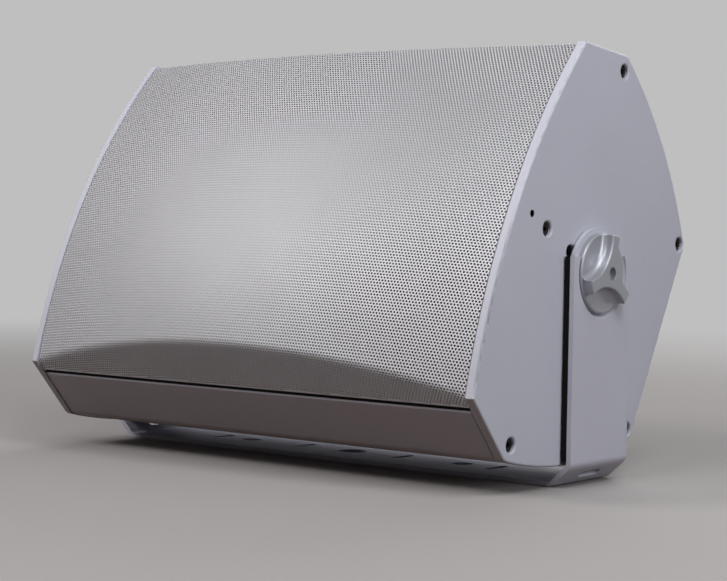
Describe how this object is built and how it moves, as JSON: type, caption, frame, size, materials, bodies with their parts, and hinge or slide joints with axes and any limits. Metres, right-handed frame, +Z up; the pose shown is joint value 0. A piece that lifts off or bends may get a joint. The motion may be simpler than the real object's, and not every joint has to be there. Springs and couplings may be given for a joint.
{
  "type": "surface-mount subwoofer",
  "caption": "Wide six-sided bass loudspeaker with a bowed perforated grille and flat end caps, tilting in a folded U bracket clamped by scalloped knobs",
  "frame": {"origin": "middle of the underside of the bracket's base, on the axis of its centre hole", "axes": "X along the cabinet between the end caps, -Y towards the listener, +Z up from the mounting surface"},
  "size_m": [0.464, 0.2889, 0.3109],
  "materials": {
    "case_coat": "satin powder coat",
    "bracket_coat": "satin powder coat",
    "grille_coat": "satin powder coat",
    "black_steel": "black oxide",
    "plated_steel": "zinc plated",
    "cast_frame": "matte black cast",
    "former_foil": "satin",
    "ferrite": "matte",
    "copper_wire": "enamelled",
    "contact_brass": "nickel plated",
    "panel_board": "fibreboard",
    "acoustic_cloth": "matte",
    "felt": "matte",
    "seal_foam": "matte",
    "roll_rubber": "satin",
    "cone_pulp": "matte",
    "spider_cloth": "matte",
    "cup_plastic": "fine texture",
    "board_laminate": "satin",
    "capacitor_sleeve": "gloss",
    "washer_nylon": "matte"
  },
  "bodies": {
    "bracket": {"u_bracket": "bracket_coat", "friction_washer_right": "washer_nylon", "friction_washer_left": "washer_nylon", "arm_pad_right": "seal_foam", "arm_pad_left": "seal_foam"},
    "cabinet": {"enclosure_shell": "case_coat", "baffle": "panel_board", "grille": "grille_coat", "grille_cloth": "acoustic_cloth", "grille_pins": "black_steel", "grille_seals": "seal_foam", "basket": "cast_frame", "driver_gasket": "seal_foam", "driver_screws": "black_steel", "surround": "roll_rubber", "spider": "spider_cloth", "top_plate": "plated_steel", "magnet": "ferrite", "yoke": "plated_steel", "terminal_cup": "cup_plastic", "terminal_gasket": "seal_foam", "cup_screws": "black_steel", "terminal_block": "cup_plastic", "terminal_screws": "contact_brass", "crossover_standoffs": "contact_brass", "crossover_board": "board_laminate", "crossover_coil": "copper_wire", "crossover_capacitors": "capacitor_sleeve", "lining_upper": "felt", "lining_lower": "felt", "end_cap_right": "case_coat", "cap_gasket_right": "seal_foam", "cap_screws_right": "black_steel", "pivot_plate_right": "plated_steel", "end_cap_left": "case_coat", "cap_gasket_left": "seal_foam", "cap_screws_left": "black_steel", "pivot_plate_left": "plated_steel"},
    "knob_right": {"knob_right": "bracket_coat", "knob_stud_right": "plated_steel"},
    "knob_left": {"knob_left": "bracket_coat", "knob_stud_left": "plated_steel"},
    "cone_assembly": {"cone": "cone_pulp", "dust_cap": "cone_pulp", "voice_coil_former": "former_foil", "voice_coil": "copper_wire"}
  },
  "joints": [
    {"name": "tilt", "type": "hinge", "parent": "bracket", "child": "cabinet", "pos_m": [0, 0, 0.1485], "axis": [-1, 0, 0], "range_deg": [-3, 127]},
    {"name": "knob_right_turn", "type": "hinge", "parent": "cabinet", "child": "knob_right", "pos_m": [0.22, 0, 0.1485], "axis": [1, 0, 0], "range_deg": [0, 360]},
    {"name": "knob_left_turn", "type": "hinge", "parent": "cabinet", "child": "knob_left", "pos_m": [-0.22, 0, 0.1485], "axis": [-1, 0, 0], "range_deg": [0, 360]},
    {"name": "cone_travel", "type": "slide", "parent": "cabinet", "child": "cone_assembly", "axis": [0, -0.8846, 0.4664], "range_m": [-0.005, 0.005], "stiffness_N_per_m": 3500, "deforming": ["surround", "spider"]}
  ]
}
